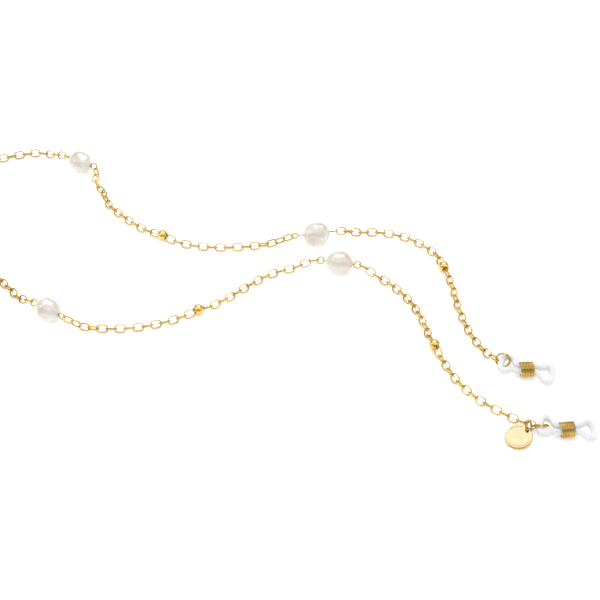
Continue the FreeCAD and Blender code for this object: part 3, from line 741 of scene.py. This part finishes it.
def soft_room():
    """A white round ceiling light, a dark ring round it and mid grey walls."""
    world = bpy.data.worlds.new("soft_room")
    world.use_nodes = True
    nodes, links = world.node_tree.nodes, world.node_tree.links
    background = nodes["Background"]
    where = nodes.new("ShaderNodeTexCoord")
    towards = nodes.new("ShaderNodeVectorMath")
    towards.operation = "DOT_PRODUCT"
    towards.inputs[1].default_value = CEILING
    links.new(where.outputs["Generated"], towards.inputs[0])
    bands = nodes.new("ShaderNodeValToRGB")
    ramp = bands.color_ramp
    while len(ramp.elements) < len(ROOM_LEVELS):
        ramp.elements.new(0.5)
    for element, (place, level) in zip(ramp.elements, ROOM_LEVELS):
        element.position = place
        element.color = (level, level, level, 1)
    links.new(towards.outputs["Value"], bands.inputs["Fac"])
    links.new(bands.outputs["Color"], background.inputs["Color"])
    background.inputs["Strength"].default_value = 1.15
    return world


class GLASSES_OT_stage(bpy.types.Operator):
    """Lay the pale sheet, hang the soft lights and set the camera"""

    bl_idname = "glasses.stage"
    bl_label = "Stage"

    def execute(self, context):
        scene = context.scene
        shape = bmesh.new()
        bmesh.ops.create_grid(shape, x_segments=2, y_segments=2, size=SHEET_HALF)
        mesh = bpy.data.meshes.new("sheet")
        shape.to_mesh(mesh)
        shape.free()
        mesh.materials.append(paper_finish("pale_sheet"))
        sheet = bpy.data.objects.new("sheet", mesh)
        scene.collection.objects.link(sheet)

        scene.world = soft_room()
        for name, place, size, power in (
            ("overhead_light", (0.0, 0.45, 0.75), 0.7, 2.4),
            ("left_light", (-0.75, -0.1, 0.45), 0.4, 0.8),
            ("right_light", (0.8, -0.2, 0.45), 0.4, 0.6),
        ):
            lamp = bpy.data.lights.new(name, "AREA")
            lamp.shape = "SQUARE"
            lamp.size = size
            lamp.energy = power
            holder = bpy.data.objects.new(name, lamp)
            holder.location = LOOK_AT + Vector(place)
            holder.rotation_euler = (LOOK_AT - holder.location).to_track_quat("-Z", "Y").to_euler()
            scene.collection.objects.link(holder)

        lens = bpy.data.cameras.new("camera")
        lens.lens = 96.0
        lens.sensor_width = 36.0
        lens.clip_start = 0.01
        camera = bpy.data.objects.new("camera", lens)
        camera.location = LOOK_AT + Vector((0, -CAMERA_STEP, CAMERA_STEP))
        camera.rotation_euler = (math.radians(CAMERA_DEGREES), 0, 0)
        scene.collection.objects.link(camera)
        scene.camera = camera
        scene.view_settings.view_transform = "Standard"
        return {"FINISHED"}


# ------------------------------------------------------------------ panel and running


class GLASSES_PT_panel(bpy.types.Panel):
    bl_idname = "GLASSES_PT_panel"
    bl_label = "Glasses chain"
    bl_space_type = "VIEW_3D"
    bl_region_type = "UI"
    bl_category = "Glasses chain"

    def draw(self, context):
        for settings in (context.scene.chain_sizes, context.scene.chain_colours):
            box = self.layout.box()
            for name in settings.__annotations__:
                box.prop(settings, name)
        for operator in OPERATORS:
            self.layout.operator(operator.bl_idname)


OPERATORS = (
    GLASSES_OT_stage, GLASSES_OT_links, GLASSES_OT_pearls, GLASSES_OT_beads, GLASSES_OT_loops,
    GLASSES_OT_coils, GLASSES_OT_fittings,
)
CLASSES = (ChainSizes, ChainColours) + OPERATORS + (GLASSES_PT_panel,)


def register():
    for item in CLASSES:
        bpy.utils.register_class(item)
    bpy.types.Scene.chain_sizes = bpy.props.PointerProperty(type=ChainSizes)
    bpy.types.Scene.chain_colours = bpy.props.PointerProperty(type=ChainColours)


def unregister():
    del bpy.types.Scene.chain_colours
    del bpy.types.Scene.chain_sizes
    for item in reversed(CLASSES):
        bpy.utils.unregister_class(item)


def main():
    global SIZES, COLOURS
    register()
    SIZES = bpy.context.scene.chain_sizes
    COLOURS = bpy.context.scene.chain_colours
    bpy.ops.glasses.stage()
    bpy.ops.glasses.links()
    bpy.ops.glasses.pearls()
    bpy.ops.glasses.beads()
    bpy.ops.glasses.loops()
    bpy.ops.glasses.coils()
    bpy.ops.glasses.fittings()


if __name__ == "__main__":
    main()
